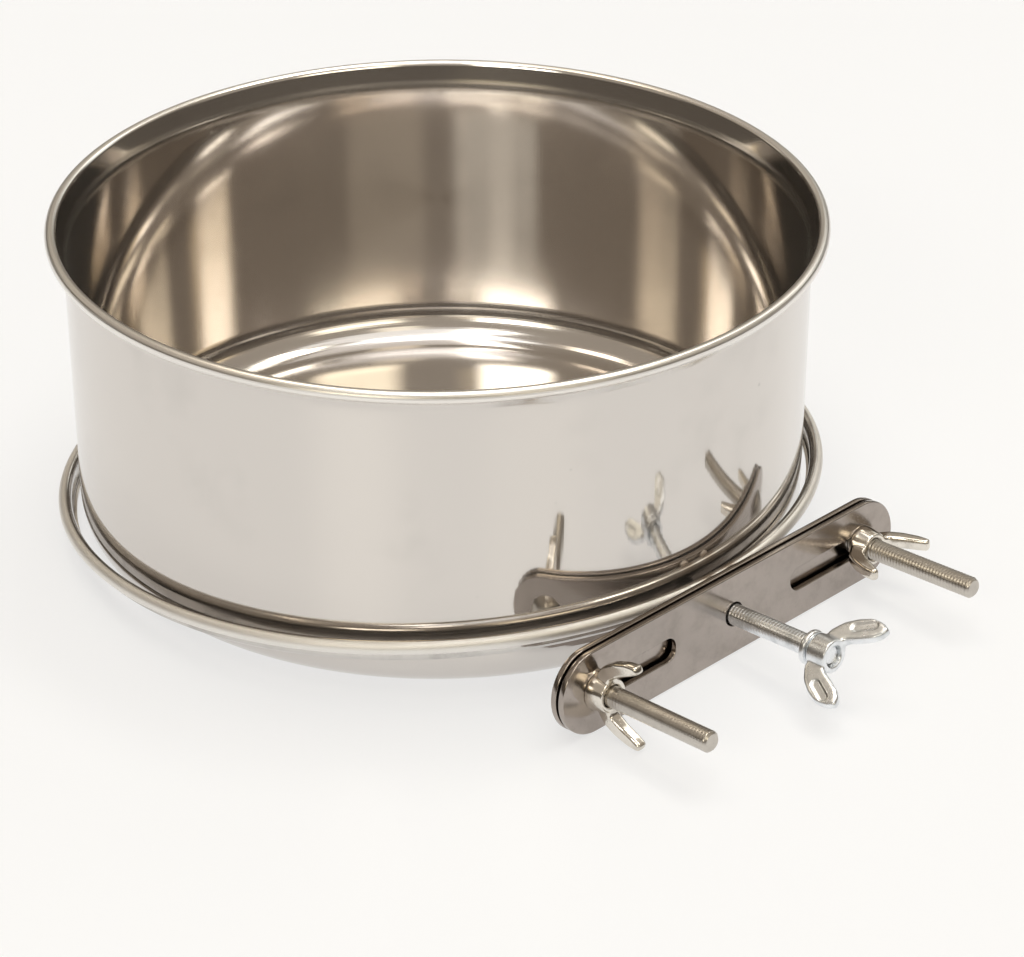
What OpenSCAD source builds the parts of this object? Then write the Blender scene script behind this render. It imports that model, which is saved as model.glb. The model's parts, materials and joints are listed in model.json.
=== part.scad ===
// Seed cup: a polished sheet-steel cup in a rolled holder ring that clamps to cage bars.
// The cup stands level. The loose holder leans round its foot, on its back plate's lower edge and
// on the far side of its ring. The origin is on the cup's axis in the plane that both stand on,
// and the clamp faces -Y. Holder pieces are drawn level and leant together by leant().

/* [Cup] */
// Diameter over the rolled rim
cup_d = 148; // [110:1:200]
// Height from the standing plane to the top of the rim
cup_h = 63.5; // [45:0.5:100]
// Thickness of the cup's sheet
cup_t = 0.6; // [0.5:0.1:0.8]
// How far the rim stands out past the wall
rim_out = 3.2; // [3:0.1:3.6]
// Diameter of the rolled bead on the rim
rim_bead_d = 2.4; // [2.2:0.1:2.6]
// Lean of the short flare under the rim, in degrees
rim_lean = 30; // [25:1:35]
// Bend radius of the flare under the rim
rim_bend_r = 4; // [3:0.5:5]
// Outside radius between wall and bottom
corner_r = 8.5; // [6:0.5:10]

/* [Holder ring] */
// Thickness of the ring's sheet
ring_t = 0.8; // [0.6:0.1:1]
// Height of the ring, from its lip to the top of its bead
ring_h = 4.6; // [4.2:0.1:4.8]
// Diameter of the rolled bead on the ring
ring_bead_d = 2.6; // [2.4:0.1:2.8]
// Clear way between the cup's wall and the ring's lip
ring_gap = 1.1; // [0.8:0.1:1.5]
// Width of the lip that turns in under the ring
lip_w = 0.7; // [0.4:0.1:0.9]
// Inside bend radius between the lip and the ring's band
lip_bend_r = 0.3; // [0.2:0.1:0.4]
// Depth of the flat that the ring has where it meets the back plate
weld_flat = 0.15; // [0.1:0.05:0.2]
// Radius of each weld spot
weld_r = 0.9; // [0.6:0.1:1]
// Distance between the two weld spots
weld_pitch = 5.7; // [4:0.1:8]

/* [Clamp plates] */
// Length of both plates
plate_l = 89; // [86:1:110]
// Height of both plates
plate_h = 16; // [15.5:0.5:20]
// Thickness of each plate
plate_t = 1.2; // [1:0.1:1.6]
// Gap between the plates as they stand, with nothing clamped
plate_gap = 0.6; // [0.4:0.1:1]
// How far each bolt stands inside the middle of its round end
bolt_inset = 1; // [0.5:0.1:1.5]
// How far the ring's bead lies below the plates' top edge
ring_drop = 0.4; // [0.3:0.1:0.6]
// Distance between the slots' inner ends
slot_inner = 31; // [26:1:40]
// How far each slot runs past the bolt's side
slot_past = 0.4; // [0.2:0.1:0.8]

/* [Bolts and wing nuts] */
// Thread diameter of the two bolts
bolt_d = 4; // [3:0.5:5]
// Length of each bolt under its head
bolt_l = 30; // [24:1:36]
// Diameter of each bolt's domed head
head_d = 8; // [7:0.5:9]
// Height of each bolt's head
head_h = 2.2; // [1.8:0.1:2.6]
// Chamfer on the free end of a bolt or screw
tip_chamfer = 0.45; // [0.3:0.05:0.6]
// Diameter of the wing nut's foot
nut_foot_d = 7.4; // [6.8:0.1:8]
// Diameter of the wing nut's hub at its top
nut_top_d = 6.2; // [5.8:0.1:6.6]
// Height of the wing nut's hub
nut_hub_h = 3.6; // [3.2:0.2:5]
// Height of the wing nut over its wings
nut_h = 10.5; // [9:0.5:13]
// Span over the wing nut's wings
nut_span = 17; // [14:0.2:17]
// Thickness of the wing nut's wings at the hub
nut_wing_t = 3; // [2.4:0.1:3.4]
// Turn of the left wing nut's wings from level, in degrees
left_nut_turn = 90; // [0:5:175]
// Turn of the right wing nut's wings from level, in degrees
right_nut_turn = 0; // [0:5:175]

/* [Lock screw] */
// Thread diameter of the lock screw
lock_d = 4; // [3.5:0.5:4.5]
// Space between the clamp plate and the lock screw's washer
lock_reach = 18.1; // [14:0.1:22]
// Diameter of the washer
washer_d = 6.6; // [6:0.2:8]
// Thickness of the washer
washer_t = 1.2; // [1:0.1:1.8]
// Diameter of the wing's hub
lock_hub_d = 6.4; // [6.2:0.1:7]
// Height of the wing's hub
lock_hub_h = 4.6; // [4.2:0.2:6]
// Height of the wing over its blades
lock_wing_h = 11.2; // [10:0.2:13]
// Span over the wing's blades
lock_span = 19.2; // [18:0.2:22]
// Thickness of the wing's blades at the hub
lock_wing_t = 2.3; // [2:0.1:2.6]
// Turn of the wing's blades from level, in degrees
lock_turn = 31; // [0:1:60]
// Depth of the screw's end below the face of the hub
lock_sunk = 0.8; // [0.5:0.1:1.2]
// Outside diameter of the threaded collar drawn in the back plate
collar_d = 6.4; // [6:0.1:7]
// Height of the threaded collar
collar_h = 1.2; // [0.8:0.1:1.3]

/* [Fits] */
// Radial play of a turning thread
thread_play = 0.05; // [0.03:0.01:0.1]
// Radial play of a bolt in its plate hole
hole_play = 0.1; // [0.05:0.05:0.2]
// Play on each side of a bolt in its slot and of the screw in the clamp plate
slot_play = 0.3; // [0.2:0.05:0.4]
// Space between the lock screw's point and the cup's wall
point_gap = 0.5; // [0.45:0.05:0.8]

/* [Hidden] */

// Flats in a full turn of anything round, and steps along a bend or a curl
round_fn = 96;
bend_steps = 10;
curl_steps = 28;
curve_steps = 5;

// How far a cut runs past the faces that it opens
over = 1;

// Turn of the rolled beads, in degrees, short of closing on the sheet
rim_curl = 255;
ring_curl = 250;

// Cup
rim_r = cup_d / 2;
wall_r = rim_r - rim_out;
wall_mid_r = wall_r - cup_t / 2;

// Holder ring, set by the cup that passes through it and by the plate that it is welded to
lip_r = wall_r + ring_gap;
band_mid_r = lip_r + lip_w + ring_t / 2;
ring_curl_r = (ring_bead_d - ring_t) / 2;
ring_r = band_mid_r + ring_curl_r + ring_bead_d / 2;
ring_top = plate_h - ring_drop;
ring_low = ring_top - ring_h;

// Faces of the plates, as distances from the cup's axis towards the clamp
back_in = ring_r - weld_flat;
back_out = back_in + plate_t;
clamp_in = back_out + plate_gap;
clamp_out = clamp_in + plate_t;
screw_z = plate_h / 2;

// Distance between the bolts
bolt_pitch = plate_l - plate_h - 2 * bolt_inset;

// Lean of the holder: the bend under the ring's far side and the back plate's lower edge both
// touch the plane that the cup stands on
ring_bend_r = lip_bend_r + ring_t;
far_bend = [band_mid_r - lip_bend_r - ring_t / 2 + back_in, ring_low + ring_bend_r];
lean = acos(ring_bend_r / norm(far_bend)) - atan2(far_bend[0], far_bend[1]);

// Lock screw, from its point beside the cup to its sunk end in the wing
point_y = wall_r + point_gap;
washer_y = clamp_out + lock_reach;
lock_wing_y = washer_y + washer_t;
lock_end_y = lock_wing_y + lock_hub_h - lock_sunk;

// Blade outlines: first the share of the half span, then the share of the height
nut_blade_shares = [[0.2, 0.06], [0.48, 0.07], [0.7, 0.2], [0.86, 0.42], [0.98, 0.72], [1, 0.95], [0.85, 1],
    [0.74, 0.84], [0.61, 0.6], [0.45, 0.38], [0.2, 0.32]];
lock_blade_shares = [[0.2, 0.06], [0.45, 0.08], [0.7, 0.22], [0.88, 0.42], [0.99, 0.62], [0.99, 0.84],
    [0.9, 1], [0.74, 0.97], [0.6, 0.86], [0.46, 0.64], [0.35, 0.44], [0.2, 0.38]];
// Thickness of a blade at its tip, as a share of its thickness at the hub
blade_tip_share = 0.75;
// Recess in the lock wing's blades: middle and width as shares of half span and height, and its depth
recess_mid_share = [0.76, 0.6];
recess_w_share = 0.2;
recess_l_share = 0.3;
recess_lean = 60;
recess_depth = 0.25;
// Neck of the lock wing's hub, where it meets the washer
neck_h = 0.5;
neck_depth = 0.5;
// Edge breaks on hubs, washer and bolt heads
edge_r = 0.4;
// Height of the wing nut's foot, below the taper of its hub
nut_foot_h = 0.7;

// Points along an arc, from angle a to angle b, each with the path's heading there
function arc(centre, r, a, b, steps) =
    [for (i = [0:steps])
        let (angle = a + (b - a) * i / steps)
        [centre[0] + r * cos(angle), centre[1] + r * sin(angle), angle + 90 * sign(b - a)]];

// Point at distance d to the left of a path's point, square to its heading
function beside(p, d) = [p[0] - d * sin(p[2]), p[1] + d * cos(p[2])];

// Outline of a sheet of thickness t bent along a path
function sheet(path, t) =
    concat([for (p = path) beside(p, t / 2)],
        [for (i = [len(path) - 1:-1:0]) beside(path[i], -t / 2)]);

// Smooth closed curve through points
function through(points) =
    let (n = len(points))
    [for (i = [0:n - 1], s = [0:curve_steps - 1])
        let (u = s / curve_steps, a = points[(i + n - 1) % n], b = points[i], c = points[(i + 1) % n],
            d = points[(i + 2) % n])
        b + u / 2 * (c - a) + u * u / 2 * (2 * a - 5 * b + 4 * c - d)
            + u * u * u / 2 * (3 * b - a - 3 * c + d)];

// Middle line of the cup's sheet, from the axis out over the bottom, up the wall and round the rim
function cup_path() =
    let (bend_r = corner_r - cup_t / 2,
        corner = arc([wall_mid_r - bend_r, corner_r], bend_r, -90, 0, bend_steps),
        curl_r = (rim_bead_d - cup_t) / 2,
        bead = [rim_r - rim_bead_d / 2, cup_h - rim_bead_d / 2],
        curl_x = bead[0] - curl_r * cos(rim_lean),
        curl_z = bead[1] + curl_r * sin(rim_lean),
        flare_x = wall_mid_r + rim_bend_r * (1 - cos(rim_lean)),
        flare_z = curl_z - (curl_x - flare_x) / tan(rim_lean))
    concat([[0, corner[0][1], 0]],
        corner,
        arc([wall_mid_r + rim_bend_r, flare_z - rim_bend_r * sin(rim_lean)], rim_bend_r, 180, 180 - rim_lean,
            bend_steps),
        arc(bead, curl_r, 180 - rim_lean, 180 - rim_lean - rim_curl, curl_steps));

// Middle line of the ring's sheet, from the lip up the band and round the bead
function ring_path() =
    let (bend_r = lip_bend_r + ring_t / 2,
        bend = arc([band_mid_r - bend_r, ring_low + ring_t / 2 + bend_r], bend_r, -90, 0, bend_steps))
    concat([[lip_r, bend[0][1], 0]],
        bend,
        arc([band_mid_r + ring_curl_r, ring_top - ring_bead_d / 2], ring_curl_r, 180, 180 - ring_curl,
            curl_steps));

// Leans what is drawn level in the holder, and keeps the ring's lip centred round the cup
module leant() {
    translate([0, -ring_low * sin(lean), -back_in * sin(lean)]) rotate([-lean, 0, 0]) children();
}

// Turns a piece drawn upwards so that it points out of the clamp, with its foot at distance y
module outward(x, y) {
    leant() translate([x, -y, screw_z]) rotate([90, 0, 0]) children();
}

// Plate outline with full round ends, standing up with its inner face at distance y
module plate(y) {
    outward(0, y) linear_extrude(plate_t) {
        square([plate_l - plate_h, plate_h], center = true);
        for (side = [-1, 1])
            translate([side * (plate_l - plate_h) / 2, 0]) circle(d = plate_h, $fn = round_fn);
    }
}

// Round bar with a chamfered free end
module threaded_bar(d, l) {
    rotate_extrude($fn = round_fn)
        polygon([[0, 0], [d / 2, 0], [d / 2, l - tip_chamfer], [d / 2 - tip_chamfer, l], [0, l]]);
}

// Two blades of a wing nut or wing screw, tapered towards their tips
module blades(shares, span, height, thickness) {
    outline = through([for (p = shares) [p[0] * span / 2, p[1] * height]]);
    tip_t = thickness * blade_tip_share;
    for (side = [0, 180])
        rotate([0, 0, side]) intersection() {
            rotate([90, 0, 0])
                translate([0, 0, -thickness / 2]) linear_extrude(thickness) polygon(outline);
            linear_extrude(height + over) polygon([[0, -thickness / 2], [span / 2 + over, -tip_t / 2],
                [span / 2 + over, tip_t / 2], [0, thickness / 2]]);
        }
}

module cup() {
    color("Gainsboro") rotate_extrude($fn = round_fn) polygon(sheet(cup_path(), cup_t));
}

module holder_ring() {
    color("Silver") leant() difference() {
        union() {
            rotate_extrude($fn = round_fn) polygon(sheet(ring_path(), ring_t));
            for (side = [-1, 1])
                translate([side * weld_pitch / 2, -back_in, ring_top - weld_r / 2])
                    sphere(r = weld_r, $fn = round_fn / 4);
        }
        translate([-plate_l / 2, -back_in - ring_bead_d, ring_low - over])
            cube([plate_l, ring_bead_d, ring_h + 2 * over]);
    }
}

module back_plate() {
    color("Silver") difference() {
        union() {
            plate(back_in);
            outward(0, back_in - collar_h) cylinder(d = collar_d, h = collar_h + plate_t / 2, $fn = round_fn);
        }
        outward(0, back_in - collar_h - over)
            cylinder(r = lock_d / 2 + thread_play, h = collar_h + plate_t + 2 * over, $fn = round_fn);
        for (side = [-1, 1])
            outward(side * bolt_pitch / 2, back_in - over)
                cylinder(r = bolt_d / 2 + hole_play, h = plate_t + 2 * over, $fn = round_fn);
    }
}

module clamp_plate() {
    slot_w = bolt_d + 2 * slot_play;
    slot_outer = (bolt_pitch + bolt_d) / 2 + slot_past;
    color("Silver") difference() {
        plate(clamp_in);
        outward(0, clamp_in - over)
            cylinder(r = lock_d / 2 + slot_play, h = plate_t + 2 * over, $fn = round_fn);
        for (side = [-1, 1])
            outward(0, clamp_in - over) linear_extrude(plate_t + 2 * over) {
                for (x = [(slot_inner + slot_w) / 2, slot_outer - slot_w / 2])
                    translate([side * x, 0]) circle(d = slot_w, $fn = round_fn);
                translate([side * (slot_inner / 2 + slot_outer) / 2, 0])
                    square([slot_outer - slot_inner / 2 - slot_w, slot_w], center = true);
            }
    }
}

// Bolt with a domed head on the cup's side of the back plate
module bolt(x) {
    dome_r = (head_d * head_d / 4 + head_h * head_h) / (2 * head_h);
    color("Silver") outward(x, back_in) {
        threaded_bar(bolt_d, bolt_l);
        intersection() {
            translate([0, 0, dome_r - head_h]) sphere(r = dome_r, $fn = round_fn);
            translate([0, 0, -head_h]) cylinder(d = head_d, h = head_h, $fn = round_fn);
        }
    }
}

module left_bolt() {
    bolt(-bolt_pitch / 2);
}

module right_bolt() {
    bolt(bolt_pitch / 2);
}

// Cast wing nut with a round foot, a tapered hub and two upswept blades
module wing_nut(x, turn) {
    foot_r = nut_foot_d / 2;
    top_r = nut_top_d / 2;
    color("Silver") outward(x, clamp_out) rotate([0, 0, turn]) difference() {
        union() {
            rotate_extrude($fn = round_fn)
                polygon([[0, 0], [foot_r, 0], [foot_r, nut_foot_h], [top_r, nut_hub_h - edge_r],
                    [top_r - edge_r, nut_hub_h], [0, nut_hub_h]]);
            blades(nut_blade_shares, nut_span, nut_h, nut_wing_t);
        }
        translate([0, 0, -over])
            cylinder(r = bolt_d / 2 + thread_play, h = nut_h + 2 * over, $fn = round_fn);
    }
}

module left_wing_nut() {
    wing_nut(-bolt_pitch / 2, left_nut_turn);
}

module right_wing_nut() {
    wing_nut(bolt_pitch / 2, right_nut_turn);
}

module lock_screw() {
    color("LightSteelBlue") leant() translate([0, -lock_end_y, screw_z]) rotate([-90, 0, 0])
        threaded_bar(lock_d, lock_end_y - point_y);
}

module lock_washer() {
    bore_r = lock_d / 2 + thread_play;
    rim = washer_d / 2;
    color("LightSteelBlue") outward(0, washer_y) rotate_extrude($fn = round_fn)
        polygon([[bore_r, 0], [rim - edge_r, 0], [rim, edge_r], [rim, washer_t - edge_r],
            [rim - edge_r, washer_t], [bore_r, washer_t]]);
}

// Wing of the lock screw, with a necked hub and an oval recess in each blade
module lock_wing() {
    hub_r = lock_hub_d / 2;
    recess_x = recess_mid_share[0] * lock_span / 2;
    recess_z = recess_mid_share[1] * lock_wing_h;
    recess_w = recess_w_share * lock_span / 2;
    recess_l = recess_l_share * lock_wing_h;
    color("LightSteelBlue") outward(0, lock_wing_y) rotate([0, 0, lock_turn]) difference() {
        union() {
            rotate_extrude($fn = round_fn)
                polygon([[0, 0], [hub_r - neck_depth, 0], [hub_r - neck_depth, neck_h], [hub_r, neck_h],
                    [hub_r, lock_hub_h - edge_r], [hub_r - edge_r, lock_hub_h], [0, lock_hub_h]]);
            blades(lock_blade_shares, lock_span, lock_wing_h, lock_wing_t);
        }
        translate([0, 0, -over])
            cylinder(r = lock_d / 2 + thread_play, h = lock_wing_h + 2 * over, $fn = round_fn);
        for (side = [0, 180], face = [-1, 1])
            rotate([0, 0, side]) blade_recess(recess_x, recess_z, recess_w, recess_l, face);
    }
}

// Oval recess in one face of a blade, as deep at its middle as recess_depth
module blade_recess(x, z, w, l, face) {
    share = x * 2 / lock_span;
    half_t = lock_wing_t / 2 * (1 - (1 - blade_tip_share) * share);
    translate([x, face * (half_t - recess_depth), z]) rotate([90, 0, 0]) rotate([0, 0, recess_lean])
        translate([0, 0, face > 0 ? -over : 0]) linear_extrude(over) {
            square([l, w], center = true);
            for (end = [-1, 1])
                translate([end * l / 2, 0]) circle(d = w, $fn = round_fn / 2);
        }
}

cup();
holder_ring();
back_plate();
clamp_plate();
left_bolt();
right_bolt();
left_wing_nut();
right_wing_nut();
lock_screw();
lock_washer();
lock_wing();
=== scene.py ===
import json
import math

import bmesh
import bpy
from mathutils import Matrix, Vector


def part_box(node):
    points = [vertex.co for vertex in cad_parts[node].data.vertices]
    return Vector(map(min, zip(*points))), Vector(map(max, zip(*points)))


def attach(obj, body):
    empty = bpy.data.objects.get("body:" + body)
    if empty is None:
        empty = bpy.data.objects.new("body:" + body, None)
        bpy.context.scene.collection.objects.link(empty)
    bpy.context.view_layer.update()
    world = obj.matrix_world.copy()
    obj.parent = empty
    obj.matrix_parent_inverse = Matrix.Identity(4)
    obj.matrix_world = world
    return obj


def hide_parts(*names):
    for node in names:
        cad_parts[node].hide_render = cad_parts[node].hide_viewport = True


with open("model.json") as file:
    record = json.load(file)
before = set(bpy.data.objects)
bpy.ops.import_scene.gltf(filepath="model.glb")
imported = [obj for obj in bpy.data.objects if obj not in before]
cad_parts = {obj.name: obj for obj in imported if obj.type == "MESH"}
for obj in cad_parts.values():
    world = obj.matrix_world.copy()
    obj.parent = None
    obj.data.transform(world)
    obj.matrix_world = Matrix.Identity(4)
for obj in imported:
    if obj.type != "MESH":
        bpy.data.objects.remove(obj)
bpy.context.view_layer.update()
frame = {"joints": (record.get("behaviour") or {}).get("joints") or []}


# The camera stands in front of the clamp and to its left, about 60 cm off and looking down at 30
# degrees. Its lens is long, and it aims a little below and right of the cup's middle.
MM = 0.001
CAMERA_LENS = 112.5
CAMERA_AZIMUTH = math.radians(-44.37)
CAMERA_ELEVATION = math.radians(29.93)
CAMERA_DISTANCE = 621.5 * MM
CAMERA_AIM_HEIGHT = 30 * MM
CAMERA_AIM_RIGHT = 13.96 * MM
CAMERA_AIM_UP = -22.0 * MM
CAMERA_SENSOR = 36
CAMERA_CLIP = 10 * MM

back = Vector((math.sin(CAMERA_AZIMUTH) * math.cos(CAMERA_ELEVATION),
               -math.cos(CAMERA_AZIMUTH) * math.cos(CAMERA_ELEVATION), math.sin(CAMERA_ELEVATION)))
right = Vector((math.cos(CAMERA_AZIMUTH), math.sin(CAMERA_AZIMUTH), 0))
up = back.cross(right)
aim = Vector((0, 0, CAMERA_AIM_HEIGHT)) + right * CAMERA_AIM_RIGHT + up * CAMERA_AIM_UP
camera = bpy.data.objects.new("camera", bpy.data.cameras.new("camera"))
camera.data.lens = CAMERA_LENS
camera.data.sensor_width = CAMERA_SENSOR
camera.data.clip_start = CAMERA_CLIP
turned = Matrix((right, up, back)).transposed().to_4x4()
camera.matrix_world = Matrix.Translation(aim + back * CAMERA_DISTANCE) @ turned
bpy.context.scene.collection.objects.link(camera)
bpy.context.scene.camera = camera


# The cup is pressed from one disc of thin stainless sheet, then trimmed, flared and rolled outwards
# into a bead at the rim. It is polished on a turning chuck, so its fine lines run round it.
CUP_RIM_R = 74.0 * MM
CUP_WALL_R = 70.5 * MM
CUP_SHEET = 0.6 * MM
CUP_CORNER_R = 8.2 * MM
CUP_FLARE_R = 3.0 * MM
CUP_FLARE_LEAN = math.radians(20)
CUP_BEAD_D = 2.4 * MM
CUP_CURL = math.radians(255)
CUP_EDGE = 0.12 * MM
CUP_STEPS = 640
CORNER_STEPS = 28
FLARE_STEPS = 6
CURL_STEPS = 18

MERGED = 0.001 * MM
SMOOTH_UNDER = math.radians(35)
SHEET_EDGE_SEGMENTS = 2
SHEET_EDGE_ANGLE = math.radians(50)
TINY = 0.001
FINE_LINES = {"Roughness": 0.5, "Anisotropic": 0.95, "Anisotropic Rotation": 0.25}


def verts_in(geom):
    return [g for g in geom if isinstance(g, bmesh.types.BMVert)]


def line_to(bm, vert, x, z):
    """Draws a profile on from vert to the point (x, z)."""
    new = bmesh.ops.extrude_vert_indiv(bm, verts=[vert])["verts"][0]
    new.co = (x, 0, z)
    return new


def arc_on(bm, vert, x, z, angle, steps):
    """Draws a profile on from vert, turning round the point (x, z)."""
    made = bmesh.ops.spin(bm, geom=[vert], cent=(x, 0, z), axis=(0, 1, 0), angle=angle, steps=steps)
    return verts_in(made["geom_last"])[0]


def revolve(bm, steps):
    """Turns the whole profile about Z into a closed skin whose faces point outwards."""
    bmesh.ops.spin(bm, geom=bm.verts[:] + bm.edges[:], axis=(0, 0, 1), angle=math.tau, steps=steps,
                   use_merge=True)
    bmesh.ops.remove_doubles(bm, verts=bm.verts, dist=MERGED)
    bmesh.ops.recalc_face_normals(bm, faces=bm.faces)


def piece(bm, name, body, material, replaces=(), sharp=SMOOTH_UNDER):
    """Makes the bmesh a piece of the object, smooth but for its marked faces and its sharp edges."""
    mesh = bpy.data.meshes.new(name)
    for edge in bm.edges:
        edge.smooth = edge.calc_face_angle(0) < sharp
    for face in bm.faces:
        face.smooth = not face.tag
    bm.to_mesh(mesh)
    bm.free()
    mesh.materials.append(material)
    obj = bpy.data.objects.new(name, mesh)
    bpy.context.scene.collection.objects.link(obj)
    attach(obj, body)
    if replaces:
        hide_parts(*replaces)
    return obj


def thicken(obj, thickness, edge_break):
    """Gives a sheet its thickness to both sides, and breaks its cut edges."""
    wall = obj.modifiers.new("sheet", "SOLIDIFY")
    wall.thickness = thickness
    wall.offset = 0
    wall.use_even_offset = True
    soften = obj.modifiers.new("edges", "BEVEL")
    soften.width = edge_break
    soften.segments = SHEET_EDGE_SEGMENTS
    soften.angle_limit = SHEET_EDGE_ANGLE
    soften.harden_normals = True
    return obj


class Value:
    """A node's output that can be used in sums."""

    def __init__(self, nodes, socket):
        self.nodes = nodes
        self.socket = socket

    def math(self, operation, *others):
        return self.nodes.node("Math", {"operation": operation}, dict(enumerate((self, *others))))

    def __add__(self, other):
        return self.math("ADD", other)

    def __sub__(self, other):
        return self.math("SUBTRACT", other)

    def __rsub__(self, other):
        return self.nodes.node("Math", {"operation": "SUBTRACT"}, {0: other, 1: self})

    def __mul__(self, other):
        return self.math("MULTIPLY", other)

    def __truediv__(self, other):
        return self.math("DIVIDE", other)

    __radd__ = __add__
    __rmul__ = __mul__


class Nodes:
    """A node tree that is written as expressions."""

    def __init__(self, owner):
        owner.use_nodes = True
        self.owner = owner
        self.tree = owner.node_tree
        self.tree.nodes.clear()

    def node(self, kind, settings=None, inputs=None, output=0):
        made = self.tree.nodes.new("ShaderNode" + kind)
        for key, value in (settings or {}).items():
            setattr(made, key, value)
        for key, value in (inputs or {}).items():
            if isinstance(value, Value):
                self.tree.links.new(value.socket, made.inputs[key])
            else:
                made.inputs[key].default_value = value
        return Value(self, made.outputs[output]) if made.outputs else None

    def place(self):
        """The point on the object in millimetres, from its own Object coordinates."""
        spot = self.node("TexCoord", output="Object")
        return self.node("VectorMath", {"operation": "SCALE"}, {0: spot, "Scale": 1 / MM})

    def axes(self, vector):
        return [self.node("SeparateXYZ", inputs={0: vector}, output=axis) for axis in "XYZ"]

    def noise(self, vector, scale, detail=2, roughness=0.5):
        return self.node("TexNoise", inputs={"Vector": vector, "Scale": scale, "Detail": detail,
                                             "Roughness": roughness})

    def spots(self, vector, scale, inner, outer):
        """Scattered round spots, 1 inside and 0 outside."""
        away = self.node("TexVoronoi", inputs={"Vector": vector, "Scale": scale, "Randomness": 1})
        return self.ramp(away, inner, outer, 1, 0)

    def ramp(self, value, low, high, out_low=0, out_high=1):
        """Goes smoothly from out_low to out_high as value goes from low to high."""
        return self.node("MapRange", {"interpolation_type": "SMOOTHSTEP"},
                         {0: value, 1: low, 2: high, 3: out_low, 4: out_high})

    def mix(self, share, a, b):
        """Goes from colour a to colour b with share. The node's colour sockets are 6, 7 and output 2."""
        return self.node("Mix", {"data_type": "RGBA"},
                         {0: share, 6: a if isinstance(a, Value) else (*a, 1),
                          7: b if isinstance(b, Value) else (*b, 1)}, output=2)

    def metal(self, colour, roughness, height, spread=0):
        """Ends the material in metal with a relief in millimetres. Fine lines spread a share of its light."""
        relief = self.node("Bump", inputs={"Strength": 1, "Distance": MM, "Height": height})
        inputs = {"Base Color": colour, "Metallic": 1, "Roughness": roughness, "Normal": relief}
        surface = self.node("BsdfPrincipled", inputs=inputs)
        if spread:
            lined = self.node("BsdfPrincipled", inputs={**inputs, **FINE_LINES})
            surface = self.node("MixShader", inputs={0: spread, 1: surface, 2: lined})
        return self.end("Material", surface)

    def end(self, kind, surface):
        self.node("Output" + kind, inputs={"Surface": surface})
        return self.owner


CUP_COLOUR = (0.69, 0.655, 0.62)
CUP_DULL = (0.58, 0.55, 0.52)
# The rim's lighter colour is a painted highlight on the bead, not a different steel.
CUP_RIM_PAINTED_HIGHLIGHT = (0.86, 0.83, 0.785)
CUP_SPREAD = 0.07
# Where the polish is softer, and at the rim also where a highlight is painted in a lighter colour, in
# millimetres: from a radius outwards, under a height, between two heights
CUP_RIM_FROM_R, CUP_RIM_SOFT = 71.7, 0.5
CUP_CORNER_TOP, CUP_CORNER_SOFT = 6.5, 2
CUP_FOLD_FROM, CUP_FOLD_TO, CUP_FOLD_SOFT = 57, 59.5, 1
# Noise is given as scale, detail and roughness, spots as scale, inner and outer radius
CUP_LINES, LINES_ALONG, LINES_ACROSS = (1.6, 4, 0.7), 2.5, 4
CUP_SMUDGE = (0.045, 4, 0.6)
CUP_SPECKS = (0.13, 0.03, 0.06)
CUP_WAVES = (0.03, 1)
SPECKLED_SCALE, SPECKLED_RANGE = 0.02, (0.45, 0.6)
DULL_RANGE, DULL_SHARE = (0.5, 0.75), 0.4
CUP_ROUGHNESS = 0.045
LINE_ROUGHNESS, LINE_RELIEF = 0.035, 0.0005
DULL_ROUGHNESS = 0.08
RIM_ROUGHNESS = 0.22
CORNER_ROUGHNESS = 0.07
FOLD_ROUGHNESS = 0.14
WAVE_RELIEF = 0.03
SPECK_RELIEF = 0.004


def polished_stainless():
    """Mirror polish with fine turned lines, softer at the rim, in the flare's fold and in the corner. The
    rim's lighter colour is a painted highlight on the bead.
    """
    m = Nodes(bpy.data.materials.new("polished_stainless"))
    spot = m.place()
    x, y, z = m.axes(spot)
    radius = (x * x + y * y).math("SQRT") + TINY
    turned = m.node("CombineXYZ", inputs={0: x / radius * LINES_ALONG, 1: y / radius * LINES_ALONG,
                                          2: (radius + z) * LINES_ACROSS})
    lines = m.noise(turned, *CUP_LINES)
    specks = m.spots(spot, *CUP_SPECKS) * m.ramp(m.noise(spot, SPECKLED_SCALE), *SPECKLED_RANGE)
    dull = m.ramp(m.noise(spot, *CUP_SMUDGE), *DULL_RANGE) * DULL_SHARE + specks
    rim = m.ramp(radius, CUP_RIM_FROM_R, CUP_RIM_FROM_R + CUP_RIM_SOFT)
    corner = 1 - m.ramp(z, CUP_CORNER_TOP, CUP_CORNER_TOP + CUP_CORNER_SOFT)
    fold = (m.ramp(z, CUP_FOLD_FROM, CUP_FOLD_FROM + CUP_FOLD_SOFT)
            * (1 - m.ramp(z, CUP_FOLD_TO, CUP_FOLD_TO + CUP_FOLD_SOFT)))
    # At the rim the softer polish is real; its lighter colour is a painted highlight.
    steel = m.mix(rim, m.mix(dull, CUP_COLOUR, CUP_DULL), CUP_RIM_PAINTED_HIGHLIGHT)
    roughness = (CUP_ROUGHNESS + lines * LINE_ROUGHNESS + dull * DULL_ROUGHNESS + rim * RIM_ROUGHNESS
                 + corner * CORNER_ROUGHNESS + fold * FOLD_ROUGHNESS)
    waves = m.noise(spot, *CUP_WAVES)
    relief = lines * LINE_RELIEF + waves * WAVE_RELIEF - specks * SPECK_RELIEF
    return m.metal(steel, roughness, relief, CUP_SPREAD)


POLISHED = polished_stainless()

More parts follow.
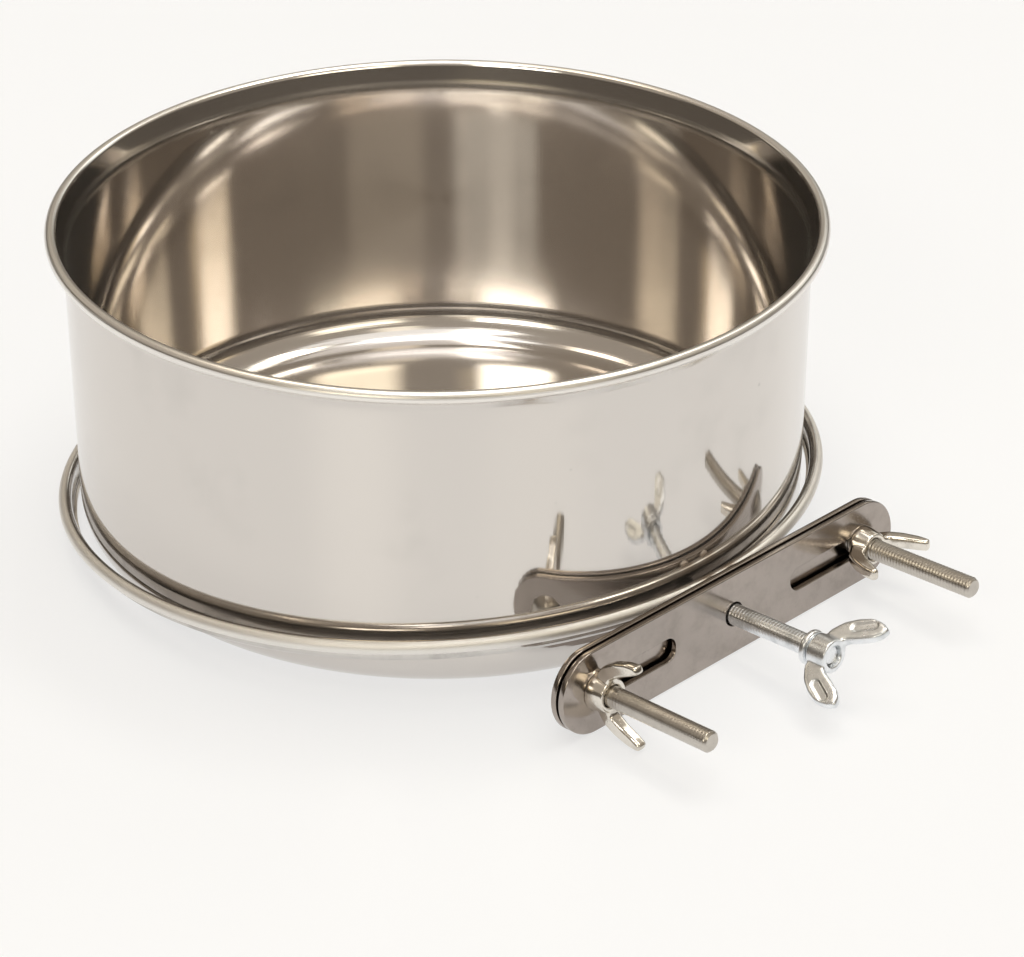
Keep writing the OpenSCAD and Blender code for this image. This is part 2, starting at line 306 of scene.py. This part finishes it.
cup_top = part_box("cup")[1].z
bead_x = CUP_RIM_R - CUP_BEAD_D / 2
bead_z = cup_top - CUP_BEAD_D / 2
curl_r = (CUP_BEAD_D - CUP_SHEET) / 2
curl_x = bead_x - curl_r * math.cos(CUP_FLARE_LEAN)
curl_z = bead_z + curl_r * math.sin(CUP_FLARE_LEAN)
flare_x = CUP_WALL_R + CUP_FLARE_R * (1 - math.cos(CUP_FLARE_LEAN))
flare_z = curl_z - (curl_x - flare_x) / math.tan(CUP_FLARE_LEAN)

bm = bmesh.new()
end = bm.verts.new((0, 0, CUP_SHEET / 2))
end = line_to(bm, end, CUP_WALL_R - CUP_CORNER_R, CUP_SHEET / 2)
end = arc_on(bm, end, CUP_WALL_R - CUP_CORNER_R, CUP_SHEET / 2 + CUP_CORNER_R, -math.pi / 2,
             CORNER_STEPS)
end = line_to(bm, end, CUP_WALL_R, flare_z - CUP_FLARE_R * math.sin(CUP_FLARE_LEAN))
end = arc_on(bm, end, CUP_WALL_R + CUP_FLARE_R, end.co.z, CUP_FLARE_LEAN, FLARE_STEPS)
end = line_to(bm, end, curl_x, curl_z)
arc_on(bm, end, bead_x, bead_z, CUP_CURL, CURL_STEPS)
revolve(bm, CUP_STEPS)
thicken(piece(bm, "cup_sheet", "cup", POLISHED, ["cup"]), CUP_SHEET, CUP_EDGE)


# The holder ring is a strip of stainless sheet rolled into a hoop. Its lower edge is turned in as a
# lip, its upper edge is rolled outwards into a bead, and it is pressed flat against the back plate.
RING_SHEET = 0.8 * MM
RING_H = 4.6 * MM
RING_LIP_R = 71.9 * MM
RING_BAND_R = 73.0 * MM
RING_BEND_R = 0.7 * MM
RING_BEAD_D = 2.6 * MM
RING_CURL = math.radians(250)
RING_TOP = 15.6 * MM
RING_FLAT_Y = 75.05 * MM
RING_EDGE = 0.15 * MM
RING_STEPS = 360
BEND_STEPS = 8
RING_CURL_STEPS = 24
SCREW_HEIGHT = 8.0 * MM
CLAMP_FACE_Y = 78.05 * MM

joints = {j["name"]: j for j in frame["joints"]}
OUT = Vector(joints["clamp_slide"]["axis"])
CLAMP_FACE = Vector(joints["left_nut_turn"]["pos_m"])


def outward(x, distance):
    """Local Z points out of the clamp, from a point at that distance beyond the clamp plate's face."""
    across = Vector((1, 0, 0))
    turn = Matrix((across, OUT.cross(across), OUT)).transposed().to_4x4()
    return Matrix.Translation(Vector((x, CLAMP_FACE.y, CLAMP_FACE.z)) + OUT * distance) @ turn


LEANT = (outward(0, -CLAMP_FACE_Y) @ Matrix.Rotation(-math.pi / 2, 4, "X")
         @ Matrix.Translation((0, 0, -SCREW_HEIGHT)))

RING_COLOUR = (0.63, 0.605, 0.575)
RING_DULL = (0.47, 0.45, 0.425)
# The bead's lighter colour is a painted highlight; its satin roughness is real.
BEAD_PAINTED_HIGHLIGHT = (0.86, 0.835, 0.79)
BEAD_SATIN = 0.38
WELD_TINT = (0.33, 0.24, 0.16)
WELD_X = 2.85 * MM
WELD_R = 0.9 * MM
WELD_TINT_R, WELD_TINT_SHARE = 3.2, 0.6
BEAD_FROM_R, BEAD_SOFT = 73.6, 0.5
RING_SMUDGE, RING_DULL_RANGE = (0.12, 4, 0.6), (0.45, 0.75)
RING_GRAIN = (3.2, 3, 0.6)
RING_ROUGHNESS = 0.1
RING_DULL_ROUGHNESS = 0.12
RING_GRAIN_ROUGHNESS, RING_GRAIN_RELIEF = 0.06, 0.0015
RING_WAVE_RELIEF = 0.03


def rolled_stainless():
    """Softer polish with a satin bead whose lighter colour is a painted highlight, and a brown tint round the
    welds.
    """
    m = Nodes(bpy.data.materials.new("rolled_stainless"))
    spot = m.place()
    smudge = m.noise(spot, *RING_SMUDGE)
    grain = m.noise(spot, *RING_GRAIN)
    dull = m.ramp(smudge, *RING_DULL_RANGE)
    x, y, z = m.axes(spot)
    bead = m.ramp((x * x + y * y).math("SQRT"), BEAD_FROM_R, BEAD_FROM_R + BEAD_SOFT)
    heat = 0
    for side in (-1, 1):
        weld = LEANT @ Vector((side * WELD_X, -RING_FLAT_Y, RING_TOP))
        away = m.node("VectorMath", {"operation": "DISTANCE"}, {0: spot, 1: weld / MM}, output="Value")
        heat = m.ramp(away, WELD_R / MM, WELD_TINT_R, WELD_TINT_SHARE, 0) + heat
    # The bead is painted lighter here as a highlight.
    steel = m.mix(bead, m.mix(dull, RING_COLOUR, RING_DULL), BEAD_PAINTED_HIGHLIGHT)
    roughness = RING_ROUGHNESS + dull * RING_DULL_ROUGHNESS + grain * RING_GRAIN_ROUGHNESS + bead * BEAD_SATIN
    return m.metal(m.mix(heat, steel, WELD_TINT), roughness,
                   grain * RING_GRAIN_RELIEF + smudge * RING_WAVE_RELIEF)


ROLLED = rolled_stainless()

ring_low = RING_TOP - RING_H
ring_curl_r = (RING_BEAD_D - RING_SHEET) / 2
lip_z = ring_low + RING_SHEET / 2

bm = bmesh.new()
end = bm.verts.new((RING_LIP_R, 0, lip_z))
end = line_to(bm, end, RING_BAND_R - RING_BEND_R, lip_z)
end = arc_on(bm, end, RING_BAND_R - RING_BEND_R, lip_z + RING_BEND_R, -math.pi / 2, BEND_STEPS)
end = line_to(bm, end, RING_BAND_R, RING_TOP - RING_BEAD_D / 2)
arc_on(bm, end, RING_BAND_R + ring_curl_r, RING_TOP - RING_BEAD_D / 2, RING_CURL, RING_CURL_STEPS)
revolve(bm, RING_STEPS)
for vert in bm.verts:
    vert.co.y = max(vert.co.y, RING_SHEET / 2 - RING_FLAT_Y)
bm.transform(LEANT)
thicken(piece(bm, "ring_sheet", "holder", ROLLED, ["holder_ring"]), RING_SHEET, RING_EDGE)


# Two spot welds join the ring's bead to the back plate's top edge. Each has left a small puddle of
# steel, a little wider than it is tall, with a brown heat tint round it.
WELD_STRETCH = (1.3, 1, 0.8)

for side, name in ((-1, "left"), (1, "right")):
    bm = bmesh.new()
    bmesh.ops.create_uvsphere(bm, u_segments=24, v_segments=16, radius=WELD_R)
    bmesh.ops.scale(bm, verts=bm.verts, vec=WELD_STRETCH)
    bm.transform(LEANT @ Matrix.Translation((side * WELD_X, -RING_FLAT_Y, RING_TOP - WELD_R / 2)))
    piece(bm, name + "_weld", "holder", ROLLED)


# Both plates are stamped from nickel-plated strip with full round ends. The back plate is welded to
# the ring and has a threaded collar drawn in its middle; the clamp plate slides on two long slots.
PLATE_L = 89 * MM
PLATE_H = 16 * MM
PLATE_T = 1.2 * MM
PLATE_GAP = 0.6 * MM
PLATE_EDGE = 0.22 * MM
BOLT_X = 35.5 * MM
BOLT_HOLE_R = 2.1 * MM
LOCK_THREAD_R = 2.05 * MM
LOCK_HOLE_R = 2.3 * MM
SLOT_W = 4.6 * MM
SLOT_IN = 15.5 * MM
SLOT_OUT = 37.9 * MM
COLLAR_R = 3.2 * MM
COLLAR_H = 1.2 * MM
END_SEGMENTS = 24
HOLE_SEGMENTS = 96
OUTLINE_MERGED = 0.005 * MM
SHARP_EDGE = math.radians(60)
EDGE_SEGMENTS = 3
NEARLY_ONE = 0.9999

PLATE_COLOUR = (0.4, 0.355, 0.32)
PLATE_DARK = (0.3, 0.262, 0.232)
NICKEL_CLOUD, NICKEL_DARK_RANGE, NICKEL_DARK_SHARE = (0.22, 5, 0.65), (0.4, 0.75), 0.6
NICKEL_GRAIN = (5.5, 3, 0.7)
NICKEL_PITS, PIT_DARK_SHARE = (1.6, 0.08, 0.2), 0.4
CLOUD_ROUGHNESS, GRAIN_ROUGHNESS, PIT_RELIEF = 0.08, 0.06, 0.01
PLATE_ROUGHNESS, PLATE_RELIEF = 0.1, 0.003


def nickel(name, colour, dark_colour, roughness, relief):
    """Nickel plating with darker clouds, a fine grain and scattered pits."""
    m = Nodes(bpy.data.materials.new(name))
    spot = m.place()
    cloud = m.noise(spot, *NICKEL_CLOUD)
    grain = m.noise(spot, *NICKEL_GRAIN)
    pit = m.spots(spot, *NICKEL_PITS)
    dark = m.ramp(cloud, *NICKEL_DARK_RANGE) * NICKEL_DARK_SHARE + pit * PIT_DARK_SHARE
    clouded = roughness + cloud * CLOUD_ROUGHNESS + grain * GRAIN_ROUGHNESS
    return m.metal(m.mix(dark, colour, dark_colour), clouded, grain * relief - pit * PIT_RELIEF)


SATIN = nickel("satin_nickel", PLATE_COLOUR, PLATE_DARK, PLATE_ROUGHNESS, PLATE_RELIEF)


def stadium(bm, length, height, x=0):
    """Closed outline with full round ends in the XY plane."""
    corners = [bm.verts.new((x + sx * length / 2, sy * height / 2, 0))
               for sx, sy in ((-1, -1), (1, -1), (1, 1), (-1, 1))]
    for i in range(4):
        bm.edges.new((corners[i], corners[i - 1]))
    bmesh.ops.bevel(bm, geom=corners, offset=height / 2 * NEARLY_ONE, affect="VERTICES",
                    segments=END_SEGMENTS, profile=0.5, material=-1)


def disc(bm, radius, x=0):
    """Round outline in the XY plane."""
    bmesh.ops.create_circle(bm, segments=HOLE_SEGMENTS, radius=radius, matrix=Matrix.Translation((x, 0, 0)))


def round_edges(bm, width):
    """Rounds every sharp edge, and marks the faces that lie flat across Z."""
    rims = [e for e in bm.edges if e.calc_face_angle(0) > SHARP_EDGE]
    bmesh.ops.bevel(bm, geom=rims, offset=width, affect="EDGES", segments=EDGE_SEGMENTS, profile=0.5,
                    material=-1)
    for face in bm.faces:
        face.tag = abs(face.normal.z) > NEARLY_ONE


def stamp(bm, thickness, edge):
    """Fills the outlines, less those inside, raises them to a plate and rounds its edges."""
    bmesh.ops.remove_doubles(bm, verts=bm.verts, dist=OUTLINE_MERGED)
    bmesh.ops.triangle_fill(bm, edges=bm.edges, use_beauty=True, use_dissolve=False, normal=(0, 0, 1))
    made = bmesh.ops.extrude_face_region(bm, geom=bm.faces[:])
    bmesh.ops.translate(bm, verts=verts_in(made["geom"]), vec=(0, 0, thickness))
    bmesh.ops.recalc_face_normals(bm, faces=bm.faces)
    round_edges(bm, edge)


bm = bmesh.new()
stadium(bm, PLATE_L, PLATE_H)
disc(bm, LOCK_THREAD_R)
for side in (-1, 1):
    disc(bm, BOLT_HOLE_R, side * BOLT_X)
stamp(bm, PLATE_T, PLATE_EDGE)
bm.transform(outward(0, -2 * PLATE_T - PLATE_GAP))
piece(bm, "back_plate_strip", "holder", SATIN, ["back_plate"])

bm = bmesh.new()
end = bm.verts.new((LOCK_THREAD_R, 0, 0))
for x, z in ((COLLAR_R, 0), (COLLAR_R, -COLLAR_H), (LOCK_THREAD_R, -COLLAR_H), (LOCK_THREAD_R, 0)):
    end = line_to(bm, end, x, z)
revolve(bm, HOLE_SEGMENTS)
round_edges(bm, PLATE_EDGE)
bm.transform(outward(0, -2 * PLATE_T - PLATE_GAP))
piece(bm, "back_plate_collar", "holder", SATIN)

bm = bmesh.new()
stadium(bm, PLATE_L, PLATE_H)
disc(bm, LOCK_HOLE_R)
for side in (-1, 1):
    stadium(bm, SLOT_OUT - SLOT_IN, SLOT_W, side * (SLOT_IN + SLOT_OUT) / 2)
stamp(bm, PLATE_T, PLATE_EDGE)
bm.transform(outward(0, -PLATE_T))
piece(bm, "clamp_plate_strip", "clamp", SATIN, ["clamp_plate"])


# The two bolts are M4, nickel plated, with a rolled thread along their whole length. Each is pressed
# through the back plate, so that its low domed head sits on the cup's side.
BOLT_R = 2.0 * MM
BOLT_L = 30 * MM
BOLT_PITCH = 0.7 * MM
LEFT_DEPTH = 0.02 * MM
RIGHT_DEPTH = 0.2 * MM
BOLT_HEAD_R = 4.0 * MM
BOLT_HEAD_H = 2.2 * MM
TIP_CHAMFER = 0.45 * MM
THREAD_STEPS = 40
DOME_STEPS = 14
HEAD_STEPS = 64
SMOOTH_THREAD = math.radians(50)
THREAD_MERGED = 0.01 * MM
# Shares of the pitch at which the flank rises, the crest starts and ends, and the root is reached again
RISE, CREST_FROM, CREST_TO, FALL = 0.2, 0.5, 0.65, 0.95

BOLT_COLOUR = (0.57, 0.535, 0.485)
BOLT_DARK = (0.42, 0.385, 0.345)
BOLT_ROUGHNESS, BOLT_RELIEF = 0.22, 0.002
BOLT_NICKEL = nickel("bolt_nickel", BOLT_COLOUR, BOLT_DARK, BOLT_ROUGHNESS, BOLT_RELIEF)


def threaded_rod(radius, pitch, depth, length):
    """Rod along Z from 0 to length with a real helical thread and a chamfered far end."""
    bm = bmesh.new()
    root = radius - depth
    end = bm.verts.new((root, 0, -pitch))
    for x, share in ((root, RISE), (radius, CREST_FROM), (radius, CREST_TO), (root, FALL), (root, 1)):
        end = line_to(bm, end, x, (share - 1) * pitch)
    bmesh.ops.spin(bm, geom=bm.verts[:] + bm.edges[:], axis=(0, 0, 1), angle=math.tau, steps=THREAD_STEPS,
                   dvec=(0, 0, pitch / THREAD_STEPS))
    turn = bm.verts[:] + bm.edges[:] + bm.faces[:]
    for number in range(1, math.ceil(length / pitch) + 2):
        copy = bmesh.ops.duplicate(bm, geom=turn)["geom"]
        bmesh.ops.translate(bm, verts=verts_in(copy), vec=(0, 0, number * pitch))
    bmesh.ops.remove_doubles(bm, verts=bm.verts, dist=THREAD_MERGED)
    for height, normal in ((0, (0, 0, -1)), (length, (0, 0, 1))):
        bmesh.ops.bisect_plane(bm, geom=bm.verts[:] + bm.edges[:] + bm.faces[:], plane_co=(0, 0, height),
                               plane_no=normal, clear_outer=True)
        rim = [e for e in bm.edges if e.is_boundary and all(abs(v.co.z - height) < MERGED for v in e.verts)]
        bmesh.ops.holes_fill(bm, edges=rim)
    for vert in bm.verts:
        allowed = radius - max(0, vert.co.z - (length - TIP_CHAMFER))
        reach = math.hypot(vert.co.x, vert.co.y)
        if reach > allowed:
            vert.co.x *= allowed / reach
            vert.co.y *= allowed / reach
    bmesh.ops.recalc_face_normals(bm, faces=bm.faces)
    return bm


def domed_head(bm, radius, height):
    """Low dome below the rod's start, with its rim on the plate."""
    dome_r = (radius * radius + height * height) / (2 * height)
    spread = math.asin(radius / dome_r)
    head = bmesh.new()
    end = head.verts.new((0, 0, -height))
    arc_on(head, end, 0, dome_r - height, -spread, DOME_STEPS)
    line_to(head, max(head.verts, key=lambda v: v.co.x), 0, 0)
    revolve(head, HEAD_STEPS)
    mesh = bpy.data.meshes.new("head")
    head.to_mesh(mesh)
    head.free()
    bm.from_mesh(mesh)
    bpy.data.meshes.remove(mesh)


for side, name, depth in ((-1, "left_bolt", LEFT_DEPTH), (1, "right_bolt", RIGHT_DEPTH)):
    bm = threaded_rod(BOLT_R, BOLT_PITCH, depth, BOLT_L)
    domed_head(bm, BOLT_HEAD_R, BOLT_HEAD_H)
    bm.transform(outward(side * BOLT_X, -2 * PLATE_T - PLATE_GAP))
    piece(bm, name + "_thread", "holder", BOLT_NICKEL, [name], sharp=SMOOTH_THREAD)


# The wing nuts are zinc castings with a bright nickel plating: a round foot, a hub that tapers to its
# top, and two blades that sweep up and out. Each one turns on its bolt and presses the clamp plate.
NUT_FOOT_R = 3.7 * MM
NUT_FOOT_H = 0.7 * MM
NUT_TOP_R = 3.1 * MM
NUT_HUB_H = 3.6 * MM
NUT_BORE_R = 2.08 * MM
NUT_MOUTH = 0.4 * MM
NUT_SPAN = 17 * MM
NUT_H = 10.5 * MM
NUT_WING_T = 3.0 * MM
# The blade's outline, in shares of the half span and of the height
NUT_BLADE_SHARES = ((0.2, 0.06), (0.48, 0.07), (0.7, 0.2), (0.86, 0.42), (0.98, 0.72), (1, 0.95), (0.85, 1),
                    (0.74, 0.84), (0.61, 0.6), (0.45, 0.38), (0.2, 0.32))
WING_TIP_SHARE = 0.75
BLADE_EDGE = 0.6 * MM
BLADE_CORNER_PERCENT, BLADE_CORNER_SEGMENTS = 20, 4
CAST_VOXEL = 0.16 * MM
NUT_SOFTENING = 6
LEFT_NUT_TURN = math.radians(90)
RIGHT_NUT_TURN = 0

NUT_COLOUR = (0.82, 0.775, 0.7)
NUT_DARK = (0.5, 0.46, 0.4)
NUT_ROUGHNESS, NUT_RELIEF = 0.08, 0.004
NUT_NICKEL = nickel("nut_nickel", NUT_COLOUR, NUT_DARK, NUT_ROUGHNESS, NUT_RELIEF)


def blades(bm, shares, span, height, thickness):
    """Two blades across Z, thinner towards their tips and round at their edges."""
    for side in (1, -1):
        blade = bmesh.new()
        points = [blade.verts.new((side * x * span / 2, 0, z * height)) for x, z in shares]
        blade.faces.new(points)
        bmesh.ops.bevel(blade, geom=blade.verts[:], offset=BLADE_CORNER_PERCENT, offset_type="PERCENT",
                        affect="VERTICES", segments=BLADE_CORNER_SEGMENTS, profile=0.5, material=-1)
        bmesh.ops.translate(blade, verts=blade.verts, vec=(0, -thickness / 2, 0))
        made = bmesh.ops.extrude_face_region(blade, geom=blade.faces[:])
        bmesh.ops.translate(blade, verts=verts_in(made["geom"]), vec=(0, thickness, 0))
        for vert in blade.verts:
            vert.co.y *= 1 - (1 - WING_TIP_SHARE) * abs(vert.co.x) / (span / 2)
        bmesh.ops.recalc_face_normals(blade, faces=blade.faces)
        round_edges(blade, BLADE_EDGE)
        mesh = bpy.data.meshes.new("blade")
        blade.to_mesh(mesh)
        blade.free()
        bm.from_mesh(mesh)
        bpy.data.meshes.remove(mesh)


def cast(bm, voxel, passes):
    """Fuses overlapping solids into one casting with soft inner corners."""
    mesh = bpy.data.meshes.new("cast")
    bm.to_mesh(mesh)
    obj = bpy.data.objects.new("cast", mesh)
    bpy.context.scene.collection.objects.link(obj)
    melt = obj.modifiers.new("melt", "REMESH")
    melt.mode = "VOXEL"
    melt.voxel_size = voxel
    bpy.context.view_layer.update()
    fused = bpy.data.meshes.new_from_object(obj.evaluated_get(bpy.context.evaluated_depsgraph_get()))
    bm.clear()
    bm.from_mesh(fused)
    for _ in range(passes):
        bmesh.ops.smooth_vert(bm, verts=bm.verts, factor=0.5, use_axis_x=True, use_axis_y=True,
                              use_axis_z=True)
    bpy.data.objects.remove(obj)
    bpy.data.meshes.remove(mesh)
    bpy.data.meshes.remove(fused)


for side, turn, name in ((-1, LEFT_NUT_TURN, "left"), (1, RIGHT_NUT_TURN, "right")):
    bm = bmesh.new()
    end = bm.verts.new((NUT_BORE_R, 0, 0))
    for x, z in ((NUT_FOOT_R, 0), (NUT_FOOT_R, NUT_FOOT_H), (NUT_TOP_R, NUT_HUB_H),
                 (NUT_BORE_R + NUT_MOUTH, NUT_HUB_H), (NUT_BORE_R, NUT_HUB_H - NUT_MOUTH), (NUT_BORE_R, 0)):
        end = line_to(bm, end, x, z)
    revolve(bm, HOLE_SEGMENTS)
    blades(bm, NUT_BLADE_SHARES, NUT_SPAN, NUT_H, NUT_WING_T)
    cast(bm, CAST_VOXEL, NUT_SOFTENING)
    for vert in bm.verts:
        reach = math.hypot(vert.co.x, vert.co.y)
        if reach < NUT_BORE_R and reach > 0:
            vert.co.x *= NUT_BORE_R / reach
            vert.co.y *= NUT_BORE_R / reach
    bm.transform(outward(side * BOLT_X, 0) @ Matrix.Rotation(turn, 4, "Z"))
    piece(bm, name + "_nut_casting", name + "_nut", NUT_NICKEL, [name + "_wing_nut"],
          sharp=math.pi)


# The lock screw is M4 and zinc plated. It is threaded through the back plate's collar and presses on
# the cup; a washer and a cast wing with a recess in each blade are fixed near its outer end.
LOCK_R = 2.0 * MM
LOCK_PITCH = 0.7 * MM
LOCK_DEPTH = 0.03 * MM
LOCK_REACH = 18.1 * MM
LOCK_POINT_Y = 71.3 * MM
LOCK_SUNK = 0.8 * MM
WASHER_R = 3.3 * MM
WASHER_T = 1.2 * MM
LOCK_HUB_R = 3.2 * MM
LOCK_HUB_H = 4.6 * MM
LOCK_NECK_R = 2.7 * MM
LOCK_NECK_H = 0.5 * MM
LOCK_WING_H = 11.2 * MM
LOCK_SPAN = 19.2 * MM
LOCK_WING_T = 2.3 * MM
LOCK_TURN = math.radians(31)
LOCK_BLADE_SHARES = ((0.2, 0.06), (0.45, 0.08), (0.7, 0.22), (0.88, 0.42), (0.99, 0.62), (0.99, 0.84),
                     (0.9, 1), (0.74, 0.97), (0.6, 0.86), (0.46, 0.64), (0.35, 0.44), (0.2, 0.38))
LOCK_SOFTENING = 4
WASHER_EDGE = 0.35 * MM
RECESS_X = 7.3 * MM
RECESS_Z = 6.72 * MM
RECESS_W = 2.0 * MM
RECESS_L = 3.4 * MM
RECESS_LEAN = math.radians(60)
RECESS_DEPTH = 0.28 * MM
RECESS_SLOPE = 0.4 * MM

ZINC_COLOUR = (0.86, 0.88, 0.9)
ZINC_DARK = (0.62, 0.645, 0.66)
ZINC_CLOUD, ZINC_DARK_RANGE = (0.3, 4, 0.6), (0.4, 0.75)
ZINC_GRAIN = (4, 3, 0.6)
ZINC_ROUGHNESS, ZINC_CLOUD_ROUGHNESS = 0.2, 0.1
ZINC_GRAIN_ROUGHNESS, ZINC_RELIEF = 0.08, 0.003


def bright_zinc():
    """Bluish bright plating with faint clouds and a fine grain."""
    m = Nodes(bpy.data.materials.new("bright_zinc"))
    spot = m.place()
    cloud = m.noise(spot, *ZINC_CLOUD)
    grain = m.noise(spot, *ZINC_GRAIN)
    zinc = m.mix(m.ramp(cloud, *ZINC_DARK_RANGE), ZINC_COLOUR, ZINC_DARK)
    roughness = ZINC_ROUGHNESS + cloud * ZINC_CLOUD_ROUGHNESS + grain * ZINC_GRAIN_ROUGHNESS
    return m.metal(zinc, roughness, grain * ZINC_RELIEF)


ZINC = bright_zinc()


def sink_recesses(bm):
    """Sinks a long oval into both faces of both blades."""
    lean = Vector((math.cos(RECESS_LEAN), math.sin(RECESS_LEAN)))
    for vert in bm.verts:
        away = Vector((abs(vert.co.x) - RECESS_X, vert.co.z - RECESS_Z))
        away -= lean * max(-RECESS_L / 2, min(RECESS_L / 2, away.dot(lean)))
        share = max(0, min(1, (RECESS_W / 2 - away.length) / RECESS_SLOPE))
        vert.co.y -= math.copysign(RECESS_DEPTH * share, vert.co.y)


wing_face = LOCK_REACH + WASHER_T
lock_end = wing_face + LOCK_HUB_H - LOCK_SUNK
bm = threaded_rod(LOCK_R, LOCK_PITCH, LOCK_DEPTH, lock_end + CLAMP_FACE_Y - LOCK_POINT_Y)
bm.transform(outward(0, LOCK_POINT_Y - CLAMP_FACE_Y))
piece(bm, "lock_screw_thread", "lock", ZINC, ["lock_screw"], sharp=SMOOTH_THREAD)

bm = bmesh.new()
end = bm.verts.new((LOCK_THREAD_R, 0, 0))
for x, z in ((WASHER_R, 0), (WASHER_R, WASHER_T), (LOCK_THREAD_R, WASHER_T), (LOCK_THREAD_R, 0)):
    end = line_to(bm, end, x, z)
revolve(bm, HOLE_SEGMENTS)
round_edges(bm, WASHER_EDGE)
bm.transform(outward(0, LOCK_REACH))
piece(bm, "washer_disc", "lock_collar", ZINC, ["lock_washer"])

bm = bmesh.new()
end = bm.verts.new((LOCK_THREAD_R, 0, 0))
for x, z in ((LOCK_NECK_R, 0), (LOCK_NECK_R, LOCK_NECK_H), (LOCK_HUB_R, LOCK_NECK_H),
             (LOCK_HUB_R, LOCK_HUB_H), (LOCK_THREAD_R, LOCK_HUB_H), (LOCK_THREAD_R, 0)):
    end = line_to(bm, end, x, z)
revolve(bm, HOLE_SEGMENTS)
blades(bm, LOCK_BLADE_SHARES, LOCK_SPAN, LOCK_WING_H, LOCK_WING_T)
cast(bm, CAST_VOXEL, LOCK_SOFTENING)
sink_recesses(bm)
bm.transform(outward(0, wing_face) @ Matrix.Rotation(LOCK_TURN, 4, "Z"))
piece(bm, "lock_wing_casting", "lock", ZINC, ["lock_wing"], sharp=math.pi)


# The floor is a plain white table top. To the camera and in the steel it shows partly as plain white, so
# that it stays pale in soft light and still carries the object's shadow.
FLOOR_R = 3.0
FLOOR_COLOUR = (0.93, 0.94, 0.96)
FLOOR_GREY = (0.9, 0.91, 0.92)
FLOOR_GLOW = 0.62
FLOOR_ROUGHNESS = 0.3
FLOOR_CLOUD, FLOOR_GREY_SHARE = (0.01, 2), 0.5
FLOOR_SIDES = 96

bm = bmesh.new()
bmesh.ops.create_circle(bm, cap_ends=True, segments=FLOOR_SIDES, radius=FLOOR_R)
mesh = bpy.data.meshes.new("floor")
bm.to_mesh(mesh)
bm.free()
floor = bpy.data.objects.new("floor", mesh)
bpy.context.scene.collection.objects.link(floor)
m = Nodes(bpy.data.materials.new("floor_white"))
cloud = m.noise(m.place(), *FLOOR_CLOUD)
white = m.mix(cloud * FLOOR_GREY_SHARE, FLOOR_COLOUR, FLOOR_GREY)
paper = m.node("BsdfPrincipled", inputs={"Base Color": white, "Roughness": FLOOR_ROUGHNESS})
glow = m.node("Emission", inputs={"Color": (1, 1, 1, 1), "Strength": 1})
seen = m.node("LightPath", output="Is Camera Ray") + m.node("LightPath", output="Is Glossy Ray")
shown = m.node("MixShader", inputs={0: seen * FLOOR_GLOW, 1: paper, 2: glow})
mesh.materials.append(m.end("Material", shown))


# The room is a dim warm studio with a white patch of ceiling. Its bright panes stand where the mirror
# rays from the cup's inside leave it: broad ones high up, and narrow or faint ones lower down.
ROOM_LOW = (0.11, 0.093, 0.075)
ROOM_WALL = (0.42, 0.37, 0.31)
CEILING = (1.2, 1.21, 1.23)
# Each pane: the azimuth of its middle from +Y towards +X, its half width, its lowest and highest
# elevation, all in degrees, and its light
PANES = ((249, 11, 27, 35, (6.2, 6.0, 5.4)),
         (249, 11, 60, 80, (5.0, 4.9, 4.6)),
         (194, 14, 27, 38, (2.7, 2.5, 2.0)),
         (205, 9, 50, 60, (1.2, 1.1, 0.9)),
         (205, 58, 60, 84, (0.85, 0.86, 0.87)),
         (354, 33, 61, 70, (4.2, 3.7, 3.0)),
         (93, 43, 61, 71, (6.2, 6.05, 5.5)),
         (84, 6, 27, 58, (2.0, 2.0, 1.9)),
         (59, 1.5, 22, 58, (1.8, 1.4, 0.8)),
         (80, 26, 19, 27, (0.8, 0.84, 0.82)),
         (246, 15, 19, 27, (1.3, 1.1, 0.72)),
         (10, 24, 20, 27, (0.3, 0.29, 0.25)),
         (186, 8, 19, 27, (0.35, 0.3, 0.24)))
PANE_SOFT = 5
ROOM_LOW_TOP, ROOM_LOW_SOFT = 21, 2
CEILING_FROM, CEILING_SOFT = 81, 4
BACKDROP = (0.97, 0.97, 0.97)
LAMP_SIZE = 0.6
LAMP_PLACE = (0.1, 0.1, 1.3)
LAMP_POWER = 1.6

world = bpy.data.worlds.new("room")
bpy.context.scene.world = world
m = Nodes(world)
x, y, z = m.axes(m.node("TexCoord", output="Generated"))
level = (x * x + y * y).math("SQRT") + TINY


def above(elevation, soft=1):
    """1 above that elevation and 0 below it."""
    return m.ramp(z, math.sin(math.radians(elevation - soft)), math.sin(math.radians(elevation + soft)))


light = m.mix(above(ROOM_LOW_TOP, ROOM_LOW_SOFT), ROOM_LOW, ROOM_WALL)
for azimuth, half, low, high, colour in PANES:
    towards = (x * math.sin(math.radians(azimuth)) + y * math.cos(math.radians(azimuth))) / level
    soft = min(PANE_SOFT, half)
    share = m.ramp(towards, math.cos(math.radians(half + soft)), math.cos(math.radians(half - soft)))
    share = share * above(low) * (1 - above(high))
    pane = m.node("VectorMath", {"operation": "SCALE"}, {0: colour, "Scale": share})
    light = m.node("VectorMath", {"operation": "ADD"}, {0: light, 1: pane})
light = m.mix(above(CEILING_FROM, CEILING_SOFT), light, CEILING)
seen = m.node("LightPath", output="Is Camera Ray")
m.end("World", m.node("Background", inputs={"Color": m.mix(seen, light, BACKDROP), "Strength": 1}))

lamp = bpy.data.lights.new("lamp", "AREA")
lamp.shape = "DISK"
lamp.size = LAMP_SIZE
lamp.energy = LAMP_POWER
lamp_holder = bpy.data.objects.new("lamp", lamp)
lamp_holder.matrix_world = Matrix.Translation(LAMP_PLACE)
bpy.context.scene.collection.objects.link(lamp_holder)

bpy.context.scene.view_settings.view_transform = "Standard"
